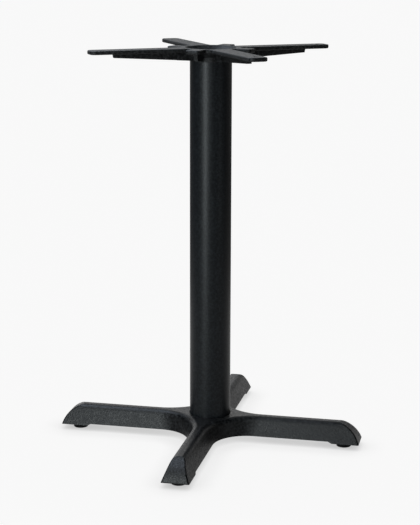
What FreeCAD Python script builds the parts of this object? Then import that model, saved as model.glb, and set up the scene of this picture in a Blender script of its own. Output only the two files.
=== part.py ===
"""Four star table base: a cross shaped iron foot, a steel column and a top spider, clamped by a tie rod.

Millimetres, +Z up, origin on the floor under the column. The arms of the foot lie along X and Y.
"""
import FreeCAD
import Part
import Sketcher
import math
import os

# Driving sizes, in millimetres and degrees
SIZES = {
    # foot casting
    "arm_reach": 286.0,
    "arm_draft": 21.2,
    "crest_flat": 7.0,
    "crest_round": 11.0,
    "base_height": 47.5,
    "rim_height": 13.4,
    "rim_step_inset": 50.5,
    "rim_step_run": 6.5,
    "foot_fillet": 62.0,
    "crest_fillet": 97.0,
    "nose_length": 38.0,
    "nose_radius": 54.0,
    "nose_land": 1.5,
    "nose_round": 3.0,
    "base_wall": 7.0,
    "nose_wall": 9.0,
    "crown_thickness": 8.0,
    "hub_boss_diameter": 48.0,
    "hub_boss_depth": 6.5,
    "seat_depth": 3.0,
    "seat_gap": 1.2,
    # column tube
    "column_diameter": 76.0,
    "column_wall": 2.0,
    "column_length": 665.5,
    # top spider casting
    "spider_turn": 33.0,
    "spider_depth": 23.6,
    "plate_thickness": 7.0,
    "plate_round": 2.0,
    "spider_reach": 228.0,
    "spider_root_width": 40.0,
    "spider_tip_width": 34.0,
    "tip_corner": 10.0,
    "ring_width": 8.0,
    "cup_mouth": 93.5,
    "cup_bore": 62.0,
    "cup_floor": 8.0,
    "spider_hub_diameter": 80.0,
    "hub_collar": 8.0,
    "spigot_depth": 6.0,
    "spigot_clearance": 0.3,
    "tab_reach": 82.0,
    "tab_width": 25.0,
    "tab_corner": 4.0,
    "web_corner": 3.0,
    "rib_thickness": 8.0,
    "rib_inset": 44.0,
    "rib_slant": 1.5,
    "rib_lift": 1.0,
    "rib_end_depth": 7.0,
    "rib_root_width": 15.0,
    "rib_root_reach": 68.0,
    "gusset_thickness": 7.0,
    "gusset_inset": 16.0,
    "gusset_end_depth": 13.0,
    "screw_inset": 20.0,
    "screw_hole": 6.5,
    # tie rod and its hardware
    "rod_diameter": 12.0,
    "rod_chamfer": 1.2,
    "rod_stickout": 2.0,
    "rod_hole": 13.5,
    "thread_clearance": 0.05,
    "lock_washer_clearance": 0.1,
    "nut_flats": 18.0,
    "nut_height": 10.0,
    "nut_chamfer": 0.9,
    "washer_diameter": 24.0,
    "washer_thickness": 2.5,
    "lock_washer_diameter": 20.5,
    "lock_washer_thickness": 2.5,
    "lock_washer_split": 1.6,
    "washer_bore": 13.0,
    # levelling glides
    "glide_inset": 30.5,
    "glide_height": 10.2,
    "glide_diameter": 27.5,
    "glide_edge": 1.4,
    "glide_boss_diameter": 23.0,
    "stud_diameter": 8.0,
    "stud_length": 20.0,
    "stud_hole_depth": 24.0,
    "stud_chamfer": 0.8,
    "stud_flange_diameter": 16.0,
    "stud_flange_thickness": 3.0,
    "stud_flange_cover": 3.5,
}

ARM_COUNT = 4
FULL_TURN = 360
QUARTER_TURN = FULL_TURN / ARM_COUNT
STAR_TURN = QUARTER_TURN / 2
HEX_SIDES = 6
CUT_MARGIN = 10.0
SAME = 1e-4
CREST_STEPS = 4
BLEND_SHARE = 0.2

doc = FreeCAD.newDocument("four_star_table_base")
sheet = doc.addObject("Spreadsheet::Sheet", "Sizes")
for row, (alias, number) in enumerate(SIZES.items(), start=1):
    sheet.set(f"A{row}", alias.replace("_", " "))
    sheet.set(f"B{row}", str(number))
    sheet.setAlias(f"B{row}", alias)
doc.recompute()


class Formula:
    """A size worked out from the sheet: its text is bound in the document, its number drafts a sketch."""

    def __init__(self, text, number):
        self.text = text
        self.number = number

    def joined(self, sign, other, number):
        return Formula(f"({self.text} {sign} {formula(other).text})", number)

    def __add__(self, other):
        return self.joined("+", other, self.number + formula(other).number)

    def __sub__(self, other):
        return self.joined("-", other, self.number - formula(other).number)

    def __mul__(self, other):
        return self.joined("*", other, self.number * formula(other).number)

    def __truediv__(self, other):
        return self.joined("/", other, self.number / formula(other).number)

    def __neg__(self):
        return Formula(f"(-1 * {self.text})", -self.number)


def formula(item):
    """A formula as it is, or a plain number as a constant formula."""
    if isinstance(item, Formula):
        return item
    return Formula(str(item), float(item))


def size(alias):
    """A driving size of the sheet."""
    return Formula(f"Sizes.{alias}", float(sheet.get(alias)))


def sine(angle):
    return Formula(f"sin({angle.text})", math.sin(math.radians(angle.number)))


def cosine(angle):
    return Formula(f"cos({angle.text})", math.cos(math.radians(angle.number)))


def tangent(angle):
    return Formula(f"tan({angle.text})", math.tan(math.radians(angle.number)))


def bind(item, path, value):
    """Ties a property of a document object to a formula."""
    item.setExpression(path, formula(value).text)


ZERO = formula(0)

# Heights that several pieces share
PAD_Z = size("glide_height")
SEAT_Z = size("base_height") - size("seat_depth")
ROOF_Z = size("base_height") - size("crown_thickness")
HUB_BOSS_Z = ROOF_Z - size("hub_boss_depth")
SPIDER_Z = SEAT_Z + size("column_length")
CUP_FLOOR_Z = size("cup_floor") - size("spigot_depth")
PLATE_Z = size("spider_depth") - size("plate_thickness")
SHOULDER_Z = size("base_height") - size("crest_round") + size("crest_round") * sine(size("arm_draft"))
SHOULDER_HALF = size("crest_flat") / 2 + size("crest_round") * cosine(size("arm_draft"))
SHOULDER_CORNER = size("crest_fillet") - size("crest_round") * cosine(size("arm_draft"))
FOOT_HALF = SHOULDER_HALF + (SHOULDER_Z - PAD_Z) * tangent(size("arm_draft"))
CLAMP_STACK = size("washer_thickness") + size("lock_washer_thickness") + size("nut_height")
UPPER_CLAMP_Z = SPIDER_Z + CUP_FLOOR_Z
ROD_BOTTOM_Z = HUB_BOSS_Z - CLAMP_STACK - size("rod_stickout")
ROD_TOP_Z = UPPER_CLAMP_Z + CLAMP_STACK + size("rod_stickout")

# Distances from the column's axis that several pieces share
GLIDE_RADIUS = size("arm_reach") - size("glide_inset")
RIM_STEP_END = size("arm_reach") - size("rim_step_inset")
RIB_REACH = size("spider_reach") - size("rib_inset")
SCREW_RADIUS = size("spider_reach") - size("screw_inset")


def new_body(label):
    """An empty body whose label names its file."""
    body = doc.addObject("PartDesign::Body", label)
    body.Label = label
    return body


def origin_feature(body, role):
    """A plane or axis of the body's own origin."""
    return next(item for item in body.Origin.OriginFeatures if item.Role == role)


def new_sketch(body, name, plane, height=None, turn=0):
    """A sketch on one of the body's own planes, lifted along its normal and turned about the upright axis."""
    sketch = body.newObject("Sketcher::SketchObject", name)
    sketch.AttachmentSupport = (origin_feature(body, plane), [""])
    sketch.MapMode = "FlatFace"
    upright = FreeCAD.Vector(0, 0, 1) if plane == "XY_Plane" else FreeCAD.Vector(0, 1, 0)
    sketch.AttachmentOffset = FreeCAD.Placement(FreeCAD.Vector(), FreeCAD.Rotation(upright, turn))
    if height is not None:
        bind(sketch, "AttachmentOffset.Base.z", height)
    return sketch


def locate(sketch, element, end, point):
    """Dimensions a point of the sketch from the sketch's origin."""
    for kind, axis, value in (("DistanceX", -2, point[0]), ("DistanceY", -1, point[1])):
        if value.number == 0:
            sketch.addConstraint(Sketcher.Constraint("PointOnObject", element, end, axis))
        elif value.number > 0:
            number = sketch.addConstraint(Sketcher.Constraint(kind, -1, 1, element, end, value.number))
            bind(sketch, f"Constraints[{number}]", value)
        else:
            number = sketch.addConstraint(Sketcher.Constraint(kind, element, end, -1, 1, -value.number))
            bind(sketch, f"Constraints[{number}]", -value)


def arc_between(start, end, radius, turn):
    """The short arc from start to end, counter-clockwise for a turn of 1 and clockwise for -1."""
    chord = end - start
    side = FreeCAD.Vector(-chord.y, chord.x, 0).normalize()
    rise = math.sqrt(radius * radius - chord.Length * chord.Length / 4)
    centre = start + chord / 2 + side * (rise * turn)
    first, last = (start, end) if turn > 0 else (end, start)
    angles = [math.atan2(point.y - centre.y, point.x - centre.x) for point in (first, last)]
    return Part.ArcOfCircle(Part.Circle(centre, FreeCAD.Vector(0, 0, 1), radius), angles[0], angles[1])


def draw_outline(sketch, corners, arcs=None):
    """A closed outline through the corners. arcs holds the radius and turn of an arc that leaves a corner."""
    arcs = arcs or {}
    corners = [(formula(x), formula(y)) for x, y in corners]
    points = [FreeCAD.Vector(x.number, y.number, 0) for x, y in corners]
    ends = []
    for index, start in enumerate(points):
        end = points[(index + 1) % len(points)]
        if index in arcs:
            radius, turn = arcs[index]
            element = sketch.addGeometry(arc_between(start, end, radius.number, turn), False)
            ends.append((element, 1, 2) if turn > 0 else (element, 2, 1))
        else:
            element = sketch.addGeometry(Part.LineSegment(start, end), False)
            ends.append((element, 1, 2))
    for index, (element, _, last) in enumerate(ends):
        following, first, _ = ends[(index + 1) % len(ends)]
        sketch.addConstraint(Sketcher.Constraint("Coincident", element, last, following, first))
    for index, (element, first, _) in enumerate(ends):
        locate(sketch, element, first, corners[index])
        if index in arcs:
            radius = arcs[index][0]
            number = sketch.addConstraint(Sketcher.Constraint("Radius", element, radius.number))
            bind(sketch, f"Constraints[{number}]", radius)


def draw_circle(sketch, diameter, x=ZERO, y=ZERO):
    """A circle, given by its diameter and its centre."""
    centre = FreeCAD.Vector(x.number, y.number, 0)
    circle = Part.Circle(centre, FreeCAD.Vector(0, 0, 1), diameter.number / 2)
    element = sketch.addGeometry(circle, False)
    locate(sketch, element, 3, (x, y))
    number = sketch.addConstraint(Sketcher.Constraint("Diameter", element, diameter.number))
    bind(sketch, f"Constraints[{number}]", diameter)


def extrude(body, kind, name, sketch, length, symmetric=False, reverse=False):
    """A Pad or Pocket of a sketch."""
    feature = body.newObject(f"PartDesign::{kind}", name)
    feature.Profile = sketch
    bind(feature, "Length", length)
    feature.SideType = "Symmetric" if symmetric else "One side"
    feature.Reversed = reverse
    return feature


def turn_profile(body, kind, name, sketch):
    """A full Revolution or Groove of a sketch about the upright axis."""
    feature = body.newObject(f"PartDesign::{kind}", name)
    feature.Profile = sketch
    feature.ReferenceAxis = (sketch, ["V_Axis"])
    feature.Angle = FULL_TURN
    return feature


def repeat_round(body, name, feature):
    """Repeats a feature on every arm."""
    pattern = body.newObject("PartDesign::PolarPattern", name)
    pattern.Originals = [feature]
    pattern.Axis = (origin_feature(body, "Z_Axis"), [""])
    pattern.Angle = FULL_TURN
    pattern.Occurrences = ARM_COUNT
    body.Tip = pattern
    return pattern


def round_edges(body, name, radius, choose):
    """A fillet on the edges that choose picks from the body's shape."""
    doc.recompute()
    base = body.Tip
    chosen = choose(base.Shape)
    numbered = enumerate(base.Shape.Edges, start=1)
    names = [f"Edge{number}" for number, edge in numbered if any(edge.isSame(pick) for pick in chosen)]
    feature = body.newObject("PartDesign::Fillet", name)
    feature.Base = (base, names)
    bind(feature, "Radius", radius)
    return feature


def quarter_turned(point, turns):
    """A plan point turned by quarter turns about the column's axis."""
    x, y = point
    for _ in range(turns):
        x, y = -y, x
    return x, y


def draw_cross(sketch, half_width, corner, end):
    """The cross outline of four arms, with an arc in each corner between them."""
    root = half_width + corner
    arm = [(root, -half_width), (end, -half_width), (end, half_width), (root, half_width)]
    outline = [quarter_turned(point, turns) for turns in range(ARM_COUNT) for point in arm]
    corner_arcs = {turns * len(arm) + 3: (corner, -1) for turns in range(ARM_COUNT)}
    draw_outline(sketch, outline, corner_arcs)


def loft_cross(body, name, levels, end, ruled):
    """A cross lofted through its levels. Each is a height, a half width of the arms and a corner radius."""
    sections = []
    for number, (height, half_width, corner) in enumerate(levels):
        sketch = new_sketch(body, f"{name}_level_{number}", "XY_Plane", height)
        draw_cross(sketch, half_width, corner, end)
        sections.append(sketch)
    loft = body.newObject("PartDesign::AdditiveLoft", name)
    loft.Profile = sections[0]
    loft.Sections = sections[1:]
    loft.Ruled = ruled
    return loft


def cut_noses(body, name, inset):
    """Cuts the arm ends to the arched nose profile, set back by an inset."""
    sketch = new_sketch(body, f"{name}_profile", "XZ_Plane")
    top = size("base_height")
    foot = PAD_Z + size("nose_land")
    start = size("arm_reach") - size("nose_length") - inset
    tip = size("arm_reach") - inset
    beyond = size("arm_reach") + CUT_MARGIN * 2
    corners = [
        (start, top),
        (tip, foot),
        (tip, ZERO),
        (beyond, ZERO),
        (beyond, top + CUT_MARGIN),
        (start, top + CUT_MARGIN),
    ]
    draw_outline(sketch, corners, {0: (size("nose_radius"), -1)})
    cut = extrude(body, "Pocket", name, sketch, (FOOT_HALF + CUT_MARGIN) * 2, symmetric=True)
    repeat_round(body, f"{name}_on_arms", cut)


def build_cast_base():
    """The foot: a drafted cross with rounded crests and arched noses, cored out from below."""
    end = size("arm_reach") + CUT_MARGIN
    foot = (PAD_Z, FOOT_HALF, size("foot_fillet"))
    shoulder = (SHOULDER_Z, SHOULDER_HALF, SHOULDER_CORNER)

    def on_side(share):
        """The outline part way down the drafted sides, from the shoulder to the foot."""
        return tuple(above + (below - above) * share for above, below in zip(shoulder, foot))

    def on_round(share):
        """The outline part way over the rounded crest, from the shoulder to the flat top."""
        angle = size("arm_draft") + (formula(QUARTER_TURN) - size("arm_draft")) * share
        out = size("crest_round") * cosine(angle)
        height = size("base_height") - size("crest_round") + size("crest_round") * sine(angle)
        return height, size("crest_flat") / 2 + out, size("crest_fillet") - out

    outer = new_body("base_form")
    loft_cross(outer, "sides", [foot, on_side(BLEND_SHARE)], end, True)
    crest_levels = [on_side(BLEND_SHARE), on_side(BLEND_SHARE / 2)]
    crest_levels += [on_round(step / CREST_STEPS) for step in range(CREST_STEPS + 1)]
    loft_cross(outer, "crests", crest_levels, end, False)

    def nose_creases(shape):
        low = (PAD_Z + size("nose_land")).number
        arched = [face for face in shape.Faces if isinstance(face.Surface, Part.Cylinder)]
        noses = [face for face in arched if abs(face.Surface.Radius - size("nose_radius").number) < SAME]
        return [edge for face in noses for edge in face.Edges if edge.BoundBox.ZMax > low + SAME]

    cut_noses(outer, "noses", ZERO)
    round_edges(outer, "nose_rounds", size("nose_round"), nose_creases)

    # the rim runs higher under the arms than under the tips
    rim = new_sketch(outer, "rim_profile", "XZ_Plane")
    rim_corners = [
        (ZERO, ZERO),
        (RIM_STEP_END, ZERO),
        (RIM_STEP_END, PAD_Z),
        (RIM_STEP_END - size("rim_step_run"), size("rim_height")),
        (ZERO, size("rim_height")),
    ]
    draw_outline(rim, rim_corners)
    hub_span = (FOOT_HALF + size("foot_fillet")) * 2
    rim_cut = extrude(outer, "Pocket", "rim", rim, hub_span, symmetric=True)
    repeat_round(outer, "rim_on_arms", rim_cut)

    seat = new_sketch(outer, "seat_circle", "XY_Plane", size("base_height"))
    draw_circle(seat, size("column_diameter") + size("seat_gap") * 2)
    extrude(outer, "Pocket", "column_seat", seat, size("seat_depth"))
    rod_hole = new_sketch(outer, "rod_hole_circle", "XY_Plane", size("base_height"))
    draw_circle(rod_hole, size("rod_hole"))
    extrude(outer, "Pocket", "rod_hole", rod_hole, size("base_height"))
    stud_hole = new_sketch(outer, "stud_hole_circle", "XY_Plane", PAD_Z)
    draw_circle(stud_hole, size("stud_diameter") + size("thread_clearance") * 2, GLIDE_RADIUS)
    stud_cut = extrude(outer, "Pocket", "stud_hole", stud_hole, size("stud_hole_depth"), reverse=True)
    repeat_round(outer, "stud_holes", stud_cut)

    # the core leaves even walls, a boss round the rod and a boss for each glide
    core = new_body("base_core")
    wall = size("base_wall")
    roof = on_side((SHOULDER_Z - ROOF_Z) / (SHOULDER_Z - PAD_Z))
    core_levels = [(height, half - wall, corner + wall) for height, half, corner in (foot, roof)]
    loft_cross(core, "hollow", core_levels, end, True)
    cut_noses(core, "core_noses", size("nose_wall"))
    boss = new_sketch(core, "hub_boss_circle", "XY_Plane", ROOF_Z)
    draw_circle(boss, size("hub_boss_diameter"))
    extrude(core, "Pocket", "hub_boss", boss, size("hub_boss_depth"))
    glide_boss = new_sketch(core, "glide_boss_circle", "XY_Plane", size("base_height"))
    draw_circle(glide_boss, size("glide_boss_diameter"), GLIDE_RADIUS)
    glide_cut = extrude(core, "Pocket", "glide_boss", glide_boss, size("base_height"))
    repeat_round(core, "glide_bosses", glide_cut)

    casting = doc.addObject("Part::Cut", "cast_base")
    casting.Label = "cast_base"
    casting.Base = outer
    casting.Tool = core
    return casting


def build_column():
    """The round steel tube that stands in the foot's seat."""
    body = new_body("column")
    sketch = new_sketch(body, "tube_section", "XY_Plane")
    draw_circle(sketch, size("column_diameter"))
    draw_circle(sketch, size("column_diameter") - size("column_wall") * 2)
    extrude(body, "Pad", "tube", sketch, size("column_length"))
    bind(body, "Placement.Base.z", SEAT_Z)
    return body


def build_top_spider():
    """The table-top bracket: a ribbed star plate with a cup that takes the tie rod's nut."""
    body = new_body("top_spider")
    plate = size("plate_thickness")
    root_half = size("spider_root_width") / 2
    tip_half = size("spider_tip_width") / 2
    tab_half = size("tab_width") / 2
    mouth = size("cup_mouth") / 2
    ring = mouth + size("ring_width")

    ring_sketch = new_sketch(body, "ring_circle", "XY_Plane", PLATE_Z)
    draw_circle(ring_sketch, ring * 2)
    extrude(body, "Pad", "ring", ring_sketch, plate)

    arm = new_sketch(body, "arm_outline", "XY_Plane", PLATE_Z)
    reach = size("spider_reach")
    draw_outline(arm, [(ZERO, -root_half), (reach, -tip_half), (reach, tip_half), (ZERO, root_half)])
    arm_pad = extrude(body, "Pad", "arm", arm, plate)
    repeat_round(body, "arms", arm_pad)

    tab = new_sketch(body, "tab_outline", "XY_Plane", PLATE_Z, STAR_TURN)
    tab_tip = size("tab_reach")
    draw_outline(tab, [(ZERO, -tab_half), (tab_tip, -tab_half), (tab_tip, tab_half), (ZERO, tab_half)])
    tab_pad = extrude(body, "Pad", "tab", tab, plate)
    repeat_round(body, "tabs", tab_pad)

    def corners_between(inner, outer):
        """Picks the plate's upright edges between two distances from the axis."""

        def choose(shape):
            upright = [edge for edge in shape.Edges if edge.BoundBox.ZLength > plate.number - SAME]
            spots = [(edge, edge.Vertexes[0].Point) for edge in upright]
            return [edge for edge, spot in spots if inner.number < math.hypot(spot.x, spot.y) <= outer.number]

        return choose

    def plate_edges(shape):
        return [edge for edge in shape.Edges if edge.BoundBox.ZLength < SAME]

    # plan corners first, then the round along the plate's edges
    past_ring = (ring + tab_tip) / 2
    past_tabs = (tab_tip + reach) / 2
    round_edges(body, "tip_rounds", size("tip_corner"), corners_between(past_tabs, reach * 2))
    round_edges(body, "tab_rounds", size("tab_corner"), corners_between(past_ring, past_tabs))
    round_edges(body, "web_rounds", size("web_corner"), corners_between(ZERO, past_ring))
    round_edges(body, "plate_rounds", size("plate_round"), plate_edges)

    # hub that stands on the tube, with a spigot inside it
    hub = new_sketch(body, "hub_profile", "XZ_Plane")
    hub_radius = size("spider_hub_diameter") / 2
    spigot = size("column_diameter") / 2 - size("column_wall") - size("spigot_clearance")
    hub_corners = [
        (ZERO, -size("spigot_depth")),
        (spigot, -size("spigot_depth")),
        (spigot, ZERO),
        (hub_radius, ZERO),
        (hub_radius, size("hub_collar")),
        (ring - size("plate_round"), PLATE_Z),
        (ring - size("plate_round"), PLATE_Z + plate / 2),
        (ZERO, PLATE_Z + plate / 2),
    ]
    draw_outline(hub, hub_corners)
    turn_profile(body, "Revolution", "hub", hub)

    # ribs under the arms, thicker next to the hub, and short gussets under the tabs
    bore = size("cup_bore") / 2
    rib_start = (bore + hub_radius) / 2
    rib_lift = size("rib_lift")
    rib_end_z = PLATE_Z - size("rib_end_depth")
    rib_rise = (rib_end_z - rib_lift) / (RIB_REACH - size("rib_slant") - hub_radius)

    def add_rib(name, turn, thickness, reach, end_z):
        """Pads one rib from inside the hub's wall, with a lower edge that climbs from the hub to end_z."""
        sketch = new_sketch(body, f"{name}_profile", "XZ_Plane", turn=turn)
        corners = [
            (rib_start, rib_lift),
            (hub_radius, rib_lift),
            (reach - size("rib_slant"), end_z),
            (reach, PLATE_Z),
            (reach, PLATE_Z + plate / 2),
            (rib_start, PLATE_Z + plate / 2),
        ]
        draw_outline(sketch, corners)
        pad = extrude(body, "Pad", name, sketch, thickness, symmetric=True)
        repeat_round(body, f"{name}s", pad)

    root_reach = size("rib_root_reach")
    root_end_z = rib_lift + rib_rise * (root_reach - size("rib_slant") - hub_radius)
    add_rib("rib", 0, size("rib_thickness"), RIB_REACH, rib_end_z)
    add_rib("rib_root", 0, size("rib_root_width"), root_reach, root_end_z)
    gusset_reach = tab_tip - size("gusset_inset")
    add_rib("gusset", STAR_TURN, size("gusset_thickness"), gusset_reach, PLATE_Z - size("gusset_end_depth"))

    # the cup and the rod's hole
    top = size("spider_depth")
    cup = new_sketch(body, "cup_profile", "XZ_Plane")
    cup_corners = [
        (ZERO, CUP_FLOOR_Z),
        (bore, CUP_FLOOR_Z),
        (bore, size("hub_collar")),
        (mouth, top),
        (mouth, top + CUT_MARGIN),
        (ZERO, top + CUT_MARGIN),
    ]
    draw_outline(cup, cup_corners)
    turn_profile(body, "Groove", "cup", cup)
    rod_hole = new_sketch(body, "rod_hole_circle", "XY_Plane", CUP_FLOOR_Z)
    draw_circle(rod_hole, size("rod_hole"))
    extrude(body, "Pocket", "rod_hole", rod_hole, size("cup_floor") * 2)

    # screw holes for the table top
    screw_hole = new_sketch(body, "screw_hole_circle", "XY_Plane", top)
    draw_circle(screw_hole, size("screw_hole"), SCREW_RADIUS)
    screw_cut = extrude(body, "Pocket", "screw_hole", screw_hole, size("spider_depth"))
    repeat_round(body, "screw_holes", screw_cut)

    body.Placement = FreeCAD.Placement(
        FreeCAD.Vector(), FreeCAD.Rotation(FreeCAD.Vector(0, 0, 1), SIZES["spider_turn"])
    )
    bind(body, "Placement.Rotation.Angle", size("spider_turn"))
    bind(body, "Placement.Base.z", SPIDER_Z)
    return body


def build_centre_rod():
    """The tie rod, with a chamfer at each end."""
    body = new_body("centre_rod")
    sketch = new_sketch(body, "rod_profile", "XZ_Plane")
    radius = size("rod_diameter") / 2
    chamfer = size("rod_chamfer")
    length = ROD_TOP_Z - ROD_BOTTOM_Z
    corners = [
        (ZERO, ZERO),
        (radius - chamfer, ZERO),
        (radius, chamfer),
        (radius, length - chamfer),
        (radius - chamfer, length),
        (ZERO, length),
    ]
    draw_outline(sketch, corners)
    turn_profile(body, "Revolution", "rod", sketch)
    bind(body, "Placement.Base.z", ROD_BOTTOM_Z)
    return body


def build_flat_washer(label, height):
    """A flat washer with its lower face at a height."""
    body = new_body(label)
    sketch = new_sketch(body, "washer_section", "XY_Plane")
    draw_circle(sketch, size("washer_diameter"))
    draw_circle(sketch, size("washer_bore"))
    extrude(body, "Pad", "washer", sketch, size("washer_thickness"))
    bind(body, "Placement.Base.z", height)
    return body


def build_lock_washer(label, height):
    """A split lock washer with its lower face at a height."""
    body = new_body(label)
    sketch = new_sketch(body, "washer_section", "XY_Plane")
    draw_circle(sketch, size("lock_washer_diameter"))
    draw_circle(sketch, size("rod_diameter") + size("lock_washer_clearance") * 2)
    extrude(body, "Pad", "washer", sketch, size("lock_washer_thickness"))
    split = new_sketch(body, "split_outline", "XY_Plane", size("lock_washer_thickness"))
    half = size("lock_washer_split") / 2
    far = size("lock_washer_diameter")
    draw_outline(split, [(ZERO, -half), (far, -half), (far, half), (ZERO, half)])
    extrude(body, "Pocket", "split", split, size("lock_washer_thickness"))
    bind(body, "Placement.Base.z", height)
    return body


def build_nut(label, height):
    """A hexagon nut with its corners chamfered above and below, lower face at a height."""
    body = new_body(label)
    sketch = new_sketch(body, "hexagon", "XY_Plane")
    corner_radius = size("nut_flats") / (2 * math.cos(math.pi / HEX_SIDES))
    corners = []
    for number in range(HEX_SIDES):
        angle = 2 * math.pi * (number + 0.5) / HEX_SIDES
        corners.append((corner_radius * round(math.cos(angle), 9), corner_radius * round(math.sin(angle), 9)))
    draw_outline(sketch, corners)
    draw_circle(sketch, size("rod_diameter") + size("thread_clearance") * 2)
    extrude(body, "Pad", "nut", sketch, size("nut_height"))
    profile = new_sketch(body, "chamfer_profile", "XZ_Plane")
    flat = size("nut_flats") / 2
    drop = size("nut_chamfer")
    far = corner_radius + drop
    tall = size("nut_height")
    draw_outline(profile, [(flat, tall), (far, tall), (far, tall - drop)])
    turn_profile(body, "Groove", "upper_chamfer", profile)
    low_profile = new_sketch(body, "low_chamfer_profile", "XZ_Plane")
    draw_outline(low_profile, [(flat, ZERO), (far, drop), (far, ZERO)])
    turn_profile(body, "Groove", "lower_chamfer", low_profile)
    bind(body, "Placement.Base.z", height)
    return body


def place_on_arm(body, number):
    """Stands a glide piece under the tip of one arm."""
    along, across = quarter_turned((GLIDE_RADIUS, ZERO), number)
    bind(body, "Placement.Base.x", along)
    bind(body, "Placement.Base.y", across)


def build_glide_stud(number):
    """The threaded stud of a glide, with the flange that holds it in the moulded foot."""
    body = new_body(f"glide_stud_{number + 1}")
    sketch = new_sketch(body, "stud_profile", "XZ_Plane")
    radius = size("stud_diameter") / 2
    flange = size("stud_flange_diameter") / 2
    low = size("stud_flange_cover")
    flange_top = low + size("stud_flange_thickness")
    tip = size("glide_height") + size("stud_length")
    corners = [
        (ZERO, low),
        (flange, low),
        (flange, flange_top),
        (radius, flange_top),
        (radius, tip - size("stud_chamfer")),
        (radius - size("stud_chamfer"), tip),
        (ZERO, tip),
    ]
    draw_outline(sketch, corners)
    turn_profile(body, "Revolution", "stud", sketch)
    place_on_arm(body, number)
    return body


def build_glide_foot(number):
    """The moulded foot of a glide, closed round the stud's flange."""
    body = new_body(f"glide_foot_{number + 1}")
    sketch = new_sketch(body, "foot_profile", "XZ_Plane")
    radius = size("glide_diameter") / 2
    edge = size("glide_edge")
    tall = size("glide_height")
    stud = size("stud_diameter") / 2
    flange = size("stud_flange_diameter") / 2
    low = size("stud_flange_cover")
    flange_top = low + size("stud_flange_thickness")
    corners = [
        (ZERO, ZERO),
        (radius - edge, ZERO),
        (radius, edge),
        (radius, tall - edge),
        (radius - edge, tall),
        (stud, tall),
        (stud, flange_top),
        (flange, flange_top),
        (flange, low),
        (ZERO, low),
    ]
    draw_outline(sketch, corners, {1: (edge, 1), 3: (edge, 1)})
    turn_profile(body, "Revolution", "foot", sketch)
    place_on_arm(body, number)
    return body


flat_thickness = size("washer_thickness")
lock_thickness = size("lock_washer_thickness")
parts = [build_cast_base(), build_column(), build_top_spider(), build_centre_rod()]
parts.append(build_flat_washer("upper_flat_washer", UPPER_CLAMP_Z))
parts.append(build_lock_washer("upper_lock_washer", UPPER_CLAMP_Z + flat_thickness))
parts.append(build_nut("upper_nut", UPPER_CLAMP_Z + flat_thickness + lock_thickness))
parts.append(build_flat_washer("lower_flat_washer", HUB_BOSS_Z - flat_thickness))
parts.append(build_lock_washer("lower_lock_washer", HUB_BOSS_Z - flat_thickness - lock_thickness))
parts.append(build_nut("lower_nut", HUB_BOSS_Z - CLAMP_STACK))
for arm_number in range(ARM_COUNT):
    parts.append(build_glide_stud(arm_number))
    parts.append(build_glide_foot(arm_number))
doc.recompute()

failed = [item.Label for item in doc.Objects if {"Invalid", "Error"} & set(item.State)]
if failed:
    raise RuntimeError(f"objects that did not build: {failed}")
for part in parts:
    if part.Shape.isNull() or not part.Shape.isValid() or len(part.Shape.Solids) != 1:
        raise RuntimeError(f"{part.Label} is not one valid solid")

os.makedirs("parts", exist_ok=True)
for part in parts:
    part.Shape.exportStep(os.path.join("parts", f"{part.Label}.step"))
    box = part.Shape.BoundBox
    span = f"z {box.ZMin:.2f} to {box.ZMax:.2f}, width {box.XLength:.1f}"
    print(f"{part.Label}: volume {part.Shape.Volume:.0f}, {span}")
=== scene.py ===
"""Looks of the four star table base: powder coated castings and column, zinc plated rod, moulded glides."""

import math

import bmesh
import bpy
from mathutils import Matrix, Vector


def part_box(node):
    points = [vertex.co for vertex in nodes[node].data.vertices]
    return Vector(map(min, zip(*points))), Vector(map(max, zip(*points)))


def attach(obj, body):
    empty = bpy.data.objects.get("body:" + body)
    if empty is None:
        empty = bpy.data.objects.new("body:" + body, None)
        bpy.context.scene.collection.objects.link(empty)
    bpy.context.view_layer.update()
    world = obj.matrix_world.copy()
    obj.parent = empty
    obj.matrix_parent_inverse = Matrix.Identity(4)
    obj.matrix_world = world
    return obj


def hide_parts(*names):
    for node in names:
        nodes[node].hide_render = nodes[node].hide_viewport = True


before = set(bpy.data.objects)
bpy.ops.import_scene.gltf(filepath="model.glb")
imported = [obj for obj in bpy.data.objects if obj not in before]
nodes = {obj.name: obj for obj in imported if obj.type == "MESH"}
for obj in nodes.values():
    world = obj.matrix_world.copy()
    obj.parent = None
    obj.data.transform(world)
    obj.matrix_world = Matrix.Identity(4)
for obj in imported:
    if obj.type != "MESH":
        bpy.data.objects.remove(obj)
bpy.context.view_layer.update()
scene = bpy.context.scene

MM = 0.001
GLIDE_COUNT = 4
TURN = 2 * math.pi

# Camera, in metres and degrees
CAMERA_PLACE = (0.5717, -2.6447, 0.9531)
CAMERA_TURN = 12.214
CAMERA_PITCH = 12.821
CAMERA_ROLL = 0.149
CAMERA_LENS = 102.69
CAMERA_SENSOR = 36.0

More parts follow.
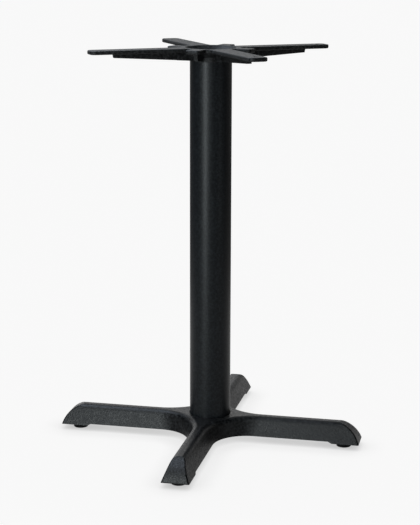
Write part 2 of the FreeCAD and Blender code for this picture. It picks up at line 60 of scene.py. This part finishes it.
# Studio: colours are linear, bearings are degrees from +X and strength 1 is a white card
BACKDROP = (0.939, 0.939, 0.939, 1.0)
FLOOR_COLOUR = (0.14, 0.14, 0.14, 1.0)
FLOOR_HALF = 60.0
FLOOR_GLOW = 0.917
# Painted shadow: near the object the floor's glow is dimmed, within this reach and by this depth
SHADOW_REACH = 0.050
SHADOW_DEPTH = 0.47
# Painted light: a pool of glow on the floor that only the coats' reflections see, dimmer at its centre as
# painted shade
POOL_SHADE = 0.3
POOL_INNER = 0.7
POOL_OUTER = 0.8
POOL_END = 1.4
POOL_CENTRE = 0.6
POOL_GLOW = 1.0
POOL_REST = 0.13
PATCH_EDGE = 0.25
SKY_PATCHES = [
    # bearing, elevation, half angle, strength
    (102, 6, 18, 0.95),
    (72, 6, 18, 0.6),
    (42, 6, 18, 0.6),
    (132, 6, 18, 1.3),
    (102, 32, 16, 1.1),
]
SOFTBOXES = {
    # place and target in metres, width, height, power in watts, colour
    "key_strip": ((-0.53, -1.72, 0.55), (0, 0, 0.55), 0.45, 1.10, 26, (0.90, 0.98, 1.0)),
    "high_box": ((-0.88, -1.53, 2.07), (0, 0, 0.30), 2.07, 2.07, 20, (0.92, 0.97, 1.0)),
    "front_box": ((0.62, -2.90, 1.50), (0, 0, 0.30), 1.41, 1.41, 12, (0.92, 0.97, 1.0)),
    "side_box": ((1.62, -0.79, 0.30), (0, 0, 0.30), 0.45, 0.40, 1.2, (0.92, 0.97, 1.0)),
    "top_box": ((-0.60, -0.15, 1.50), (-0.60, -0.15, 0), 0.60, 1.50, 25, (0.76, 0.86, 1.0)),
    "rear_box": ((-0.10, 0.60, 1.50), (-0.10, 0.60, 0), 0.60, 0.60, 2, (0.90, 0.95, 1.0)),
}
SUN_BEARING = 122
SUN_ELEVATION = 76
SUN_STRENGTH = 0.3
SUN_SPREAD = 30

# Coats: linear colours of the dark ground and of the pale flecks
CAST_BLACK = (0.0005, 0.0006, 0.0007, 1)
# The base and the spider wear one powder coat. Their different pale fleck tones are painted light and
# shade, set part by part to how bright each casting looks under the light
CAST_COATS = {
    # gloss level, roughness of dark and pale flecks, colour of the pale flecks
    "cast_base": (0.18, (0.32, 0.54), (0.0108, 0.0111, 0.0116, 1)),
    "top_spider": (0.15, (0.46, 0.68), (0.0165, 0.0169, 0.0175, 1)),
}
COLUMN_BLACK = (0.0012, 0.0018, 0.0024, 1)
COLUMN_PALE = (0.0078, 0.0093, 0.0106, 1)
ZINC_DARK = (0.30, 0.31, 0.32, 1)
ZINC_LIGHT = (0.42, 0.42, 0.40, 1)
NYLON_DARK = (0.0012, 0.0012, 0.0013, 1)
NYLON_LIGHT = (0.0024, 0.0024, 0.0026, 1)
WHITE = (1, 1, 1, 1)

# Threads: pitch and depth, with the shape of a worn-in rolled thread
ROD_PITCH = 1.75 * MM
ROD_THREAD_DEPTH = 1.0 * MM
ROD_THREAD_LENGTH = 38 * MM
ROD_CHAMFER = 1.2 * MM
STUD_PITCH = 1.25 * MM
STUD_THREAD_DEPTH = 0.72 * MM
STUD_CHAMFER = 0.8 * MM
STUD_RADIUS = 4.0 * MM
STUD_FLANGE_HEIGHT = 3.0 * MM
STUD_PLAIN_LENGTH = 4 * MM
FLANK_SLOPE = 1.25
ROWS_PER_PITCH = 8
THREAD_SEGMENTS = 48


class Shader:
    """A node material. Its nodes are made and joined by short calls."""

    def __init__(self, name):
        self.material = bpy.data.materials.new(name)
        self.material.use_nodes = True
        self.tree = self.material.node_tree
        self.surface = self.tree.nodes["Principled BSDF"]
        self.place = self.tree.nodes.new("ShaderNodeTexCoord").outputs["Object"]

    def set(self, **values):
        """Sets sockets of the surface that are the same all over."""
        for name, value in values.items():
            self.surface.inputs[name.replace("_", " ")].default_value = value

    def join(self, source, target):
        self.tree.links.new(source, target)

    def noise(self, scale, detail=2.0, rough=0.5):
        """A cloudy pattern with that many features in a metre."""
        node = self.tree.nodes.new("ShaderNodeTexNoise")
        node.inputs["Scale"].default_value = scale
        node.inputs["Detail"].default_value = detail
        node.inputs["Roughness"].default_value = rough
        self.join(self.place, node.inputs["Vector"])
        return node.outputs["Fac"]

    def ramp(self, source, low, high, start, end):
        """Maps a pattern from low..high to start..end."""
        node = self.tree.nodes.new("ShaderNodeMapRange")
        node.inputs["From Min"].default_value = low
        node.inputs["From Max"].default_value = high
        node.inputs["To Min"].default_value = start
        node.inputs["To Max"].default_value = end
        self.join(source, node.inputs["Value"])
        return node.outputs["Result"]

    def blend(self, factor, first, second):
        """A colour between two colours, by a pattern."""
        node = self.tree.nodes.new("ShaderNodeMix")
        node.data_type = "RGBA"
        colours = [socket for socket in node.inputs if socket.type == "RGBA"]
        colours[0].default_value = first
        colours[1].default_value = second
        self.join(factor, node.inputs["Factor"])
        return next(socket for socket in node.outputs if socket.type == "RGBA")

    def bump(self, height, depth, strength=1.0, below=None):
        """A relief of that depth in metres, on top of another relief."""
        node = self.tree.nodes.new("ShaderNodeBump")
        node.inputs["Distance"].default_value = depth
        node.inputs["Strength"].default_value = strength
        self.join(height, node.inputs["Height"])
        if below is not None:
            self.join(below, node.inputs["Normal"])
        return node.outputs["Normal"]

    def feed(self, name, source):
        self.join(source, self.surface.inputs[name])


def casting_paint(name, gloss, roughness, pale):
    """Matt black powder coat on sand cast iron: flecks in tone and gloss, and a grain on faint waves."""
    shader = Shader(name)
    shader.set(Specular_IOR_Level=gloss)
    flecks = shader.noise(210, detail=4, rough=0.65)
    grain = shader.noise(520)
    tone = shader.ramp(flecks, 0.42, 0.64, 0, 1)
    shader.feed("Base Color", shader.blend(tone, CAST_BLACK, pale))
    shader.feed("Roughness", shader.ramp(flecks, 0.36, 0.66, *roughness))
    waves = shader.bump(shader.noise(260, detail=4), depth=0.6 * MM, strength=0.8)
    shader.feed("Normal", shader.bump(grain, depth=0.10 * MM, strength=0.7, below=waves))
    return shader.material


def column_paint():
    """Satin black powder coat on drawn tube: an even fine grain with small flecks."""
    shader = Shader("column_black_powder")
    shader.set(Specular_IOR_Level=0.165)
    flecks = shader.noise(260, detail=4, rough=0.65)
    grain = shader.noise(600)
    tone = shader.ramp(flecks, 0.42, 0.64, 0, 1)
    shader.feed("Base Color", shader.blend(tone, COLUMN_BLACK, COLUMN_PALE))
    shader.feed("Roughness", shader.ramp(grain, 0.3, 0.7, 0.34, 0.46))
    shader.feed("Normal", shader.bump(grain, depth=0.08 * MM, strength=0.6))
    return shader.material


def zinc_plate():
    """Dull zinc plating with faint clouds in tone and gloss."""
    shader = Shader("zinc_plate")
    shader.set(Metallic=1.0)
    clouds = shader.noise(160, detail=3)
    shader.feed("Base Color", shader.blend(clouds, ZINC_DARK, ZINC_LIGHT))
    shader.feed("Roughness", shader.ramp(clouds, 0.3, 0.7, 0.38, 0.54))
    shader.feed("Normal", shader.bump(shader.noise(900), depth=0.04 * MM, strength=0.4))
    return shader.material


def glide_plastic():
    """Black moulded nylon with a fine spark finish."""
    shader = Shader("glide_black_nylon")
    shader.set(Specular_IOR_Level=0.08)
    grain = shader.noise(1400)
    shader.feed("Base Color", shader.blend(grain, NYLON_DARK, NYLON_LIGHT))
    shader.feed("Roughness", shader.ramp(grain, 0.3, 0.7, 0.52, 0.66))
    shader.feed("Normal", shader.bump(grain, depth=0.05 * MM, strength=0.5))
    return shader.material


def dress(item, material):
    """Gives an object one material."""
    item.data.materials.clear()
    item.data.materials.append(material)


def turned_mesh(name, rows, segments, centre):
    """A closed turned mesh. Each row is a height and a function from the angle to the radius there."""
    mesh = bpy.data.meshes.new(name)
    form = bmesh.new()
    rings = []
    for height, radius_at in rows:
        ring = []
        for step in range(segments):
            angle = TURN * step / segments
            radius = radius_at(angle)
            spot = (centre[0] + radius * math.cos(angle), centre[1] + radius * math.sin(angle), height)
            ring.append(form.verts.new(spot))
        rings.append(ring)
    for below, above in zip(rings, rings[1:]):
        for step in range(segments):
            after = (step + 1) % segments
            face = form.faces.new((below[step], below[after], above[after], above[step]))
            face.smooth = True
    for ring, upward in ((rings[0], False), (rings[-1], True)):
        form.faces.new(ring if upward else ring[::-1])
    form.to_mesh(mesh)
    form.free()
    item = bpy.data.objects.new(name, mesh)
    scene.collection.objects.link(item)
    return item


def thread_rows(low, high, radius, pitch, depth, chamfer_low, chamfer_high):
    """Rows of a right-handed screw thread between two heights, with a chamfer at either end."""
    count = round((high - low) / pitch * ROWS_PER_PITCH)

    def row(height):
        cap = min(
            radius,
            radius - chamfer_low + (height - low) if chamfer_low else radius,
            radius - chamfer_high + (high - height) if chamfer_high else radius,
        )

        def radius_at(angle):
            phase = (height / pitch - angle / TURN) % 1
            flank = abs(2 * phase - 1)
            crest = min(max(FLANK_SLOPE * flank - (FLANK_SLOPE - 1) / 2, 0), 1)
            return min(radius - depth * (1 - crest), cap)

        return height, radius_at

    return [row(low + (high - low) * step / count) for step in range(count + 1)]


def plain_row(height, radius):
    return height, lambda angle: radius


def build_tie_rod(material):
    """The tie rod, threaded at both ends for its nuts."""
    low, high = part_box("centre_rod")
    radius = (high.x - low.x) / 2
    thread = (radius, ROD_PITCH, ROD_THREAD_DEPTH)
    bottom = thread_rows(low.z, low.z + ROD_THREAD_LENGTH, *thread, ROD_CHAMFER, 0)
    top = thread_rows(high.z - ROD_THREAD_LENGTH, high.z, *thread, 0, ROD_CHAMFER)
    rod = turned_mesh("tie_rod_threaded", bottom + top, THREAD_SEGMENTS, (0, 0))
    dress(rod, material)
    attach(rod, "stand")
    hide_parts("centre_rod")


def build_stud(number, material):
    """One glide's stud: a flange inside the foot and a threaded shank."""
    name = f"glide_stud_{number}"
    low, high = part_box(name)
    centre = (low + high) / 2
    flange = (high.x - low.x) / 2
    flange_top = low.z + STUD_FLANGE_HEIGHT
    thread_start = flange_top + STUD_PLAIN_LENGTH
    rows = [plain_row(low.z, flange), plain_row(flange_top, flange), plain_row(flange_top, STUD_RADIUS)]
    rows += thread_rows(thread_start, high.z, STUD_RADIUS, STUD_PITCH, STUD_THREAD_DEPTH, 0, STUD_CHAMFER)
    stud = turned_mesh(f"glide_stud_{number}_threaded", rows, THREAD_SEGMENTS, centre)
    dress(stud, material)
    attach(stud, f"glide_{number}")
    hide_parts(name)


def combine(tree, operation, first, second):
    """The product, sum, least or greatest of two sockets' values."""
    node = tree.nodes.new("ShaderNodeMath")
    node.operation = operation
    tree.links.new(first, node.inputs[0])
    tree.links.new(second, node.inputs[1])
    return node.outputs["Value"]


def seen_rays(tree, *kinds):
    """1 for rays of the given kinds, and 0 for all others."""
    rays = tree.nodes.new("ShaderNodeLightPath")
    seen = rays.outputs[f"Is {kinds[0]} Ray"]
    for kind in kinds[1:]:
        seen = combine(tree, "MAXIMUM", seen, rays.outputs[f"Is {kind} Ray"])
    return seen


def floor_paper():
    """Pale paper with a painted soft shade near the object. Coats mirror a painted pool of light on it."""
    shader = Shader("floor_paper")
    shader.set(Roughness=1.0, Specular_IOR_Level=0.0, Base_Color=FLOOR_COLOUR)
    tree = shader.tree
    # Painted shadow: the glow seen by the camera is dimmed where the object is near
    nearness = tree.nodes.new("ShaderNodeAmbientOcclusion")
    nearness.inputs["Distance"].default_value = SHADOW_REACH
    shaded_glow = FLOOR_GLOW * (1 - SHADOW_DEPTH)
    open_glow = shader.ramp(nearness.outputs["AO"], 0.0, 1.0, shaded_glow, FLOOR_GLOW)
    # Painted reflection: a pool of glow, dim near the object, that only glossy rays see
    away = tree.nodes.new("ShaderNodeVectorMath")
    away.operation = "LENGTH"
    shader.join(shader.place, away.inputs[0])
    rise = shader.ramp(away.outputs["Value"], POOL_SHADE, POOL_INNER, POOL_CENTRE, POOL_GLOW)
    fall = shader.ramp(away.outputs["Value"], POOL_OUTER, POOL_END, POOL_GLOW, POOL_REST)
    pool = combine(tree, "MINIMUM", rise, fall)
    seen = combine(tree, "MULTIPLY", seen_rays(tree, "Camera", "Transmission"), open_glow)
    mirrored = combine(tree, "MULTIPLY", seen_rays(tree, "Glossy"), pool)
    glow = tree.nodes.new("ShaderNodeEmission")
    glow.inputs["Color"].default_value = WHITE
    shader.join(combine(tree, "ADD", seen, mirrored), glow.inputs["Strength"])
    total = tree.nodes.new("ShaderNodeAddShader")
    shader.join(shader.surface.outputs["BSDF"], total.inputs[0])
    shader.join(glow.outputs["Emission"], total.inputs[1])
    # From below the floor is clear, so that the foot's underside can be seen
    sides = tree.nodes.new("ShaderNodeMixShader")
    shader.join(tree.nodes.new("ShaderNodeNewGeometry").outputs["Backfacing"], sides.inputs["Fac"])
    shader.join(total.outputs["Shader"], sides.inputs[1])
    shader.join(tree.nodes.new("ShaderNodeBsdfTransparent").outputs["BSDF"], sides.inputs[2])
    shader.join(sides.outputs["Shader"], tree.nodes["Material Output"].inputs["Surface"])
    return shader.material


def build_floor():
    """A wide plain floor."""
    mesh = bpy.data.meshes.new("floor")
    half = FLOOR_HALF
    corners = [(-half, -half, 0), (half, -half, 0), (half, half, 0), (-half, half, 0)]
    mesh.from_pydata(corners, [], [(0, 1, 2, 3)])
    floor = bpy.data.objects.new("floor", mesh)
    scene.collection.objects.link(floor)
    dress(floor, floor_paper())
    return floor


def way_to(bearing, elevation):
    """The direction to a light from the object."""
    level = math.cos(math.radians(elevation))
    turn = math.radians(bearing)
    return Vector((level * math.cos(turn), level * math.sin(turn), math.sin(math.radians(elevation))))


def sky_patch(tree, direction, bearing, elevation, half_angle, strength):
    """The brightness of a round soft-edged patch of the sky."""
    closeness = tree.nodes.new("ShaderNodeVectorMath")
    closeness.operation = "DOT_PRODUCT"
    closeness.inputs[1].default_value = way_to(bearing, elevation)
    tree.links.new(direction, closeness.inputs[0])
    patch = tree.nodes.new("ShaderNodeMapRange")
    patch.interpolation_type = "SMOOTHSTEP"
    patch.inputs["From Min"].default_value = math.cos(math.radians(half_angle * (1 + PATCH_EDGE)))
    patch.inputs["From Max"].default_value = math.cos(math.radians(half_angle * (1 - PATCH_EDGE)))
    patch.inputs["To Max"].default_value = strength
    tree.links.new(closeness.outputs["Value"], patch.inputs["Value"])
    return patch.outputs["Result"]


def build_world():
    """A dark studio with soft patches of light, and an even pale backdrop for the camera."""
    world = bpy.data.worlds.new("studio")
    scene.world = world
    world.use_nodes = True
    tree = world.node_tree
    tree.nodes.clear()
    direction = tree.nodes.new("ShaderNodeTexCoord").outputs["Generated"]
    patches = [sky_patch(tree, direction, *patch) for patch in SKY_PATCHES]
    glow = patches[0]
    for patch in patches[1:]:
        glow = combine(tree, "ADD", glow, patch)
    studio = tree.nodes.new("ShaderNodeBackground")
    studio.inputs["Color"].default_value = WHITE
    tree.links.new(glow, studio.inputs["Strength"])
    backdrop = tree.nodes.new("ShaderNodeBackground")
    backdrop.inputs["Color"].default_value = BACKDROP
    mix = tree.nodes.new("ShaderNodeMixShader")
    tree.links.new(seen_rays(tree, "Camera", "Transmission"), mix.inputs["Fac"])
    tree.links.new(studio.outputs["Background"], mix.inputs[1])
    tree.links.new(backdrop.outputs["Background"], mix.inputs[2])
    tree.links.new(mix.outputs["Shader"], tree.nodes.new("ShaderNodeOutputWorld").inputs["Surface"])


def add_light(name, kind, place, target, power, colour):
    """A lamp that shines from its place towards its target."""
    light = bpy.data.lights.new(name, kind)
    light.energy = power
    light.color = colour
    item = bpy.data.objects.new(name, light)
    scene.collection.objects.link(item)
    item.location = place
    item.rotation_euler = (Vector(place) - Vector(target)).to_track_quat("Z", "Y").to_euler()
    return item


def link_floor(light, floor, state):
    """Lets a lamp light nothing but the floor, or everything but the floor."""
    receivers = bpy.data.collections.new(f"{light.name}_receivers")
    receivers.objects.link(floor)
    receivers.collection_objects[0].light_linking.link_state = state
    light.light_linking.receiver_collection = receivers


def build_lights(floor):
    """Soft boxes out of sight that light the object, and a high soft sun for its shadow on the floor."""
    for name, (place, target, width, height, power, colour) in SOFTBOXES.items():
        item = add_light(name, "AREA", place, target, power, colour)
        item.data.shape = "RECTANGLE"
        item.data.size = width
        item.data.size_y = height
        item.visible_camera = False
        link_floor(item, floor, "EXCLUDE")
    sun_way = way_to(SUN_BEARING, SUN_ELEVATION)
    sun = add_light("shadow_sun", "SUN", sun_way, (0, 0, 0), SUN_STRENGTH, (1, 1, 1))
    sun.data.angle = math.radians(SUN_SPREAD)
    link_floor(sun, floor, "INCLUDE")


def build_camera():
    """The camera at the photograph's viewing angle."""
    lens = bpy.data.cameras.new("camera")
    lens.lens = CAMERA_LENS
    lens.sensor_width = CAMERA_SENSOR
    item = bpy.data.objects.new("camera", lens)
    scene.collection.objects.link(item)
    turn = Matrix.Rotation(math.radians(CAMERA_TURN), 4, "Z")
    tilt = Matrix.Rotation(math.radians(90 - CAMERA_PITCH), 4, "X")
    roll = Matrix.Rotation(math.radians(CAMERA_ROLL), 4, "Z")
    item.matrix_world = Matrix.Translation(CAMERA_PLACE) @ turn @ tilt @ roll
    scene.camera = item


def main():
    tube = column_paint()
    zinc = zinc_plate()
    plastic = glide_plastic()
    for name, coat in CAST_COATS.items():
        dress(nodes[name], casting_paint(f"{name}_black_powder", *coat))
    dress(nodes["column"], tube)
    for end in ("upper", "lower"):
        for piece in ("flat_washer", "lock_washer", "nut"):
            dress(nodes[f"{end}_{piece}"], zinc)
    build_tie_rod(zinc)
    for number in range(1, GLIDE_COUNT + 1):
        dress(nodes[f"glide_foot_{number}"], plastic)
        build_stud(number, zinc)
    floor = build_floor()
    build_world()
    build_lights(floor)
    build_camera()
    scene.view_settings.view_transform = "Standard"


main()
